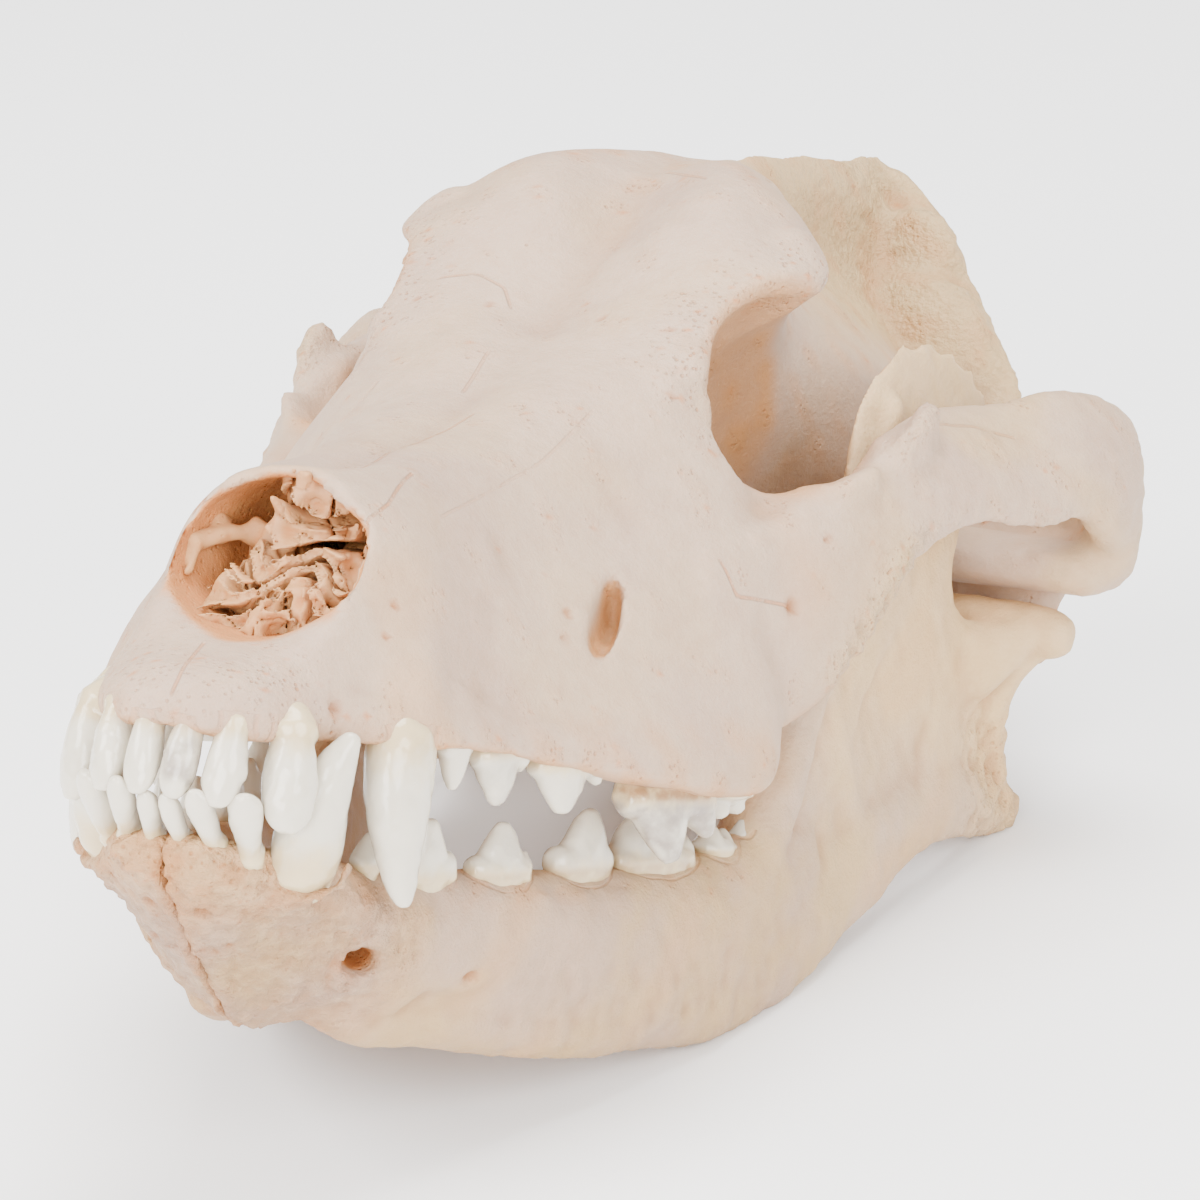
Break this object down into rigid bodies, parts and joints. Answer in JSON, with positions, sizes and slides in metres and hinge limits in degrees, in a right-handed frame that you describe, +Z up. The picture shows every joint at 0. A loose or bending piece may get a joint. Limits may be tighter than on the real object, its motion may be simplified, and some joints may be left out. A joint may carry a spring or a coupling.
{
  "type": "dog skull",
  "caption": "Dry cleaned skull of a great dane: cranium with its teeth, and a two-part lower jaw that hinges on the cranium and carries the whole skull.",
  "frame": {"origin": "middle of the skull's footprint box, on the surface it stands on", "axes": "+Z up, -Y towards the snout, +X to the animal's own left"},
  "size_m": [0.1511, 0.2891, 0.1244],
  "materials": {
    "cranium_bone": "dry cleaned bone, matt pale cream with a faint pink, tan and porous in the nose and the orbits",
    "jaw_bone": "dry cleaned bone, matt cream, yellower on the upright part and porous under the front teeth",
    "tooth_enamel": "glossy off-white tooth, yellow at the neck, some crowns stained grey-brown"
  },
  "bodies": {
    "lower_jaw": {"left_dentary": "jaw_bone", "right_dentary": "jaw_bone", "lower_left_first_incisor": "tooth_enamel", "lower_left_second_incisor": "tooth_enamel", "lower_left_third_incisor": "tooth_enamel", "lower_left_canine": "tooth_enamel", "lower_left_first_premolar": "tooth_enamel", "lower_left_second_premolar": "tooth_enamel", "lower_left_third_premolar": "tooth_enamel", "lower_left_fourth_premolar": "tooth_enamel", "lower_left_first_molar": "tooth_enamel", "lower_left_second_molar": "tooth_enamel", "lower_left_third_molar": "tooth_enamel", "lower_right_first_incisor": "tooth_enamel", "lower_right_second_incisor": "tooth_enamel", "lower_right_third_incisor": "tooth_enamel", "lower_right_canine": "tooth_enamel", "lower_right_first_premolar": "tooth_enamel", "lower_right_second_premolar": "tooth_enamel", "lower_right_third_premolar": "tooth_enamel", "lower_right_fourth_premolar": "tooth_enamel", "lower_right_first_molar": "tooth_enamel", "lower_right_second_molar": "tooth_enamel", "lower_right_third_molar": "tooth_enamel"},
    "cranium": {"cranium": "cranium_bone", "upper_left_first_incisor": "tooth_enamel", "upper_left_second_incisor": "tooth_enamel", "upper_left_third_incisor": "tooth_enamel", "upper_left_canine": "tooth_enamel", "upper_left_first_premolar": "tooth_enamel", "upper_left_second_premolar": "tooth_enamel", "upper_left_third_premolar": "tooth_enamel", "upper_left_fourth_premolar": "tooth_enamel", "upper_left_first_molar": "tooth_enamel", "upper_left_second_molar": "tooth_enamel", "upper_right_first_incisor": "tooth_enamel", "upper_right_second_incisor": "tooth_enamel", "upper_right_third_incisor": "tooth_enamel", "upper_right_canine": "tooth_enamel", "upper_right_first_premolar": "tooth_enamel", "upper_right_second_premolar": "tooth_enamel", "upper_right_third_premolar": "tooth_enamel", "upper_right_fourth_premolar": "tooth_enamel", "upper_right_first_molar": "tooth_enamel", "upper_right_second_molar": "tooth_enamel"}
  },
  "joints": [
    {"name": "jaw_hinge", "type": "hinge", "parent": "lower_jaw", "child": "cranium", "pos_m": [0, 0.07056, 0.0382], "axis": [-1, 0, 0], "range_deg": [0, 25]}
  ]
}
